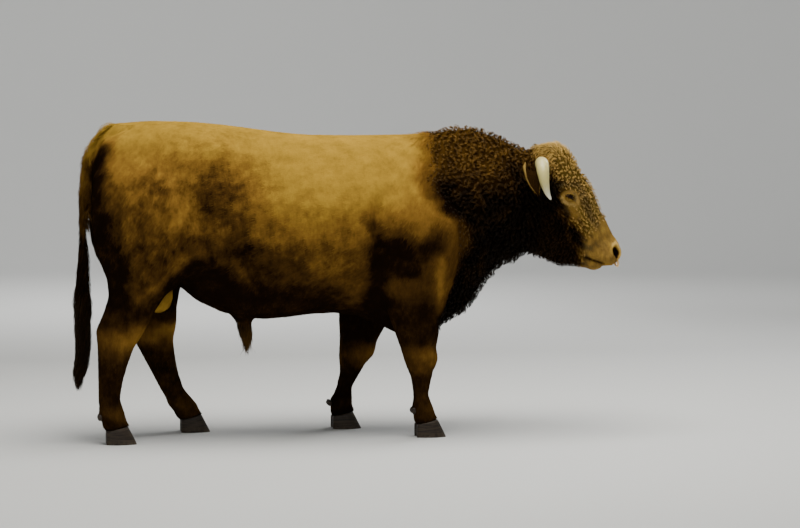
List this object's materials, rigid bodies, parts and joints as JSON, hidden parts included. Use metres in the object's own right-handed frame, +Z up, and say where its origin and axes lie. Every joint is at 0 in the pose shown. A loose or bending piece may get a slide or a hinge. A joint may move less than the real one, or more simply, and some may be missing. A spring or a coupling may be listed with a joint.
{
  "type": "horned beef bull, life-size still model",
  "caption": "Horned beef bull in mid-stride with its head low and forward, short down-curved horns, curly mane and a nose ring; a still display model.",
  "frame": {"origin": "on the floor, under the middle of the overall box", "axes": "+X towards the muzzle, +Y to the animal's left, +Z up"},
  "size_m": [2.6708, 0.7556, 1.5071],
  "materials": {
    "coat": "short sleek golden-brown hair, dappled darker on the hips and thighs",
    "mane": "curly dark reddish-brown hair",
    "dark_hair": "long loose dark brown hair",
    "horn": "smooth ivory horn with fine rings at the base",
    "hoof": "dark brown horn with fine growth rings",
    "eye": "wet, dark brown with a level pupil",
    "bare_skin": "soft skin with very short tan hair",
    "ring": "polished, lightly worn"
  },
  "bodies": {
    "root": {"shoulders": "coat", "barrel": "coat", "rump": "coat", "neck": "mane", "head": "coat", "jaw": "coat", "ear_left": "coat", "ear_right": "coat", "horn_left": "horn", "horn_right": "horn", "eye_left": "eye", "eye_right": "eye", "nose_ring": "ring", "forearm_left": "coat", "forearm_right": "coat", "foreshank_left": "coat", "foreshank_right": "coat", "gaskin_left": "coat", "gaskin_right": "coat", "hindshank_left": "coat", "hindshank_right": "coat", "claw_fore_left_inner": "hoof", "claw_fore_left_outer": "hoof", "claw_fore_right_inner": "hoof", "claw_fore_right_outer": "hoof", "claw_hind_left_inner": "hoof", "claw_hind_left_outer": "hoof", "claw_hind_right_inner": "hoof", "claw_hind_right_outer": "hoof", "dewclaw_fore_left_inner": "hoof", "dewclaw_fore_left_outer": "hoof", "dewclaw_fore_right_inner": "hoof", "dewclaw_fore_right_outer": "hoof", "dewclaw_hind_left_inner": "hoof", "dewclaw_hind_left_outer": "hoof", "dewclaw_hind_right_inner": "hoof", "dewclaw_hind_right_outer": "hoof", "tail_root": "coat", "tail_middle": "coat", "tail_switch": "dark_hair", "sheath": "mane", "scrotum": "bare_skin"}
  },
  "joints": []
}
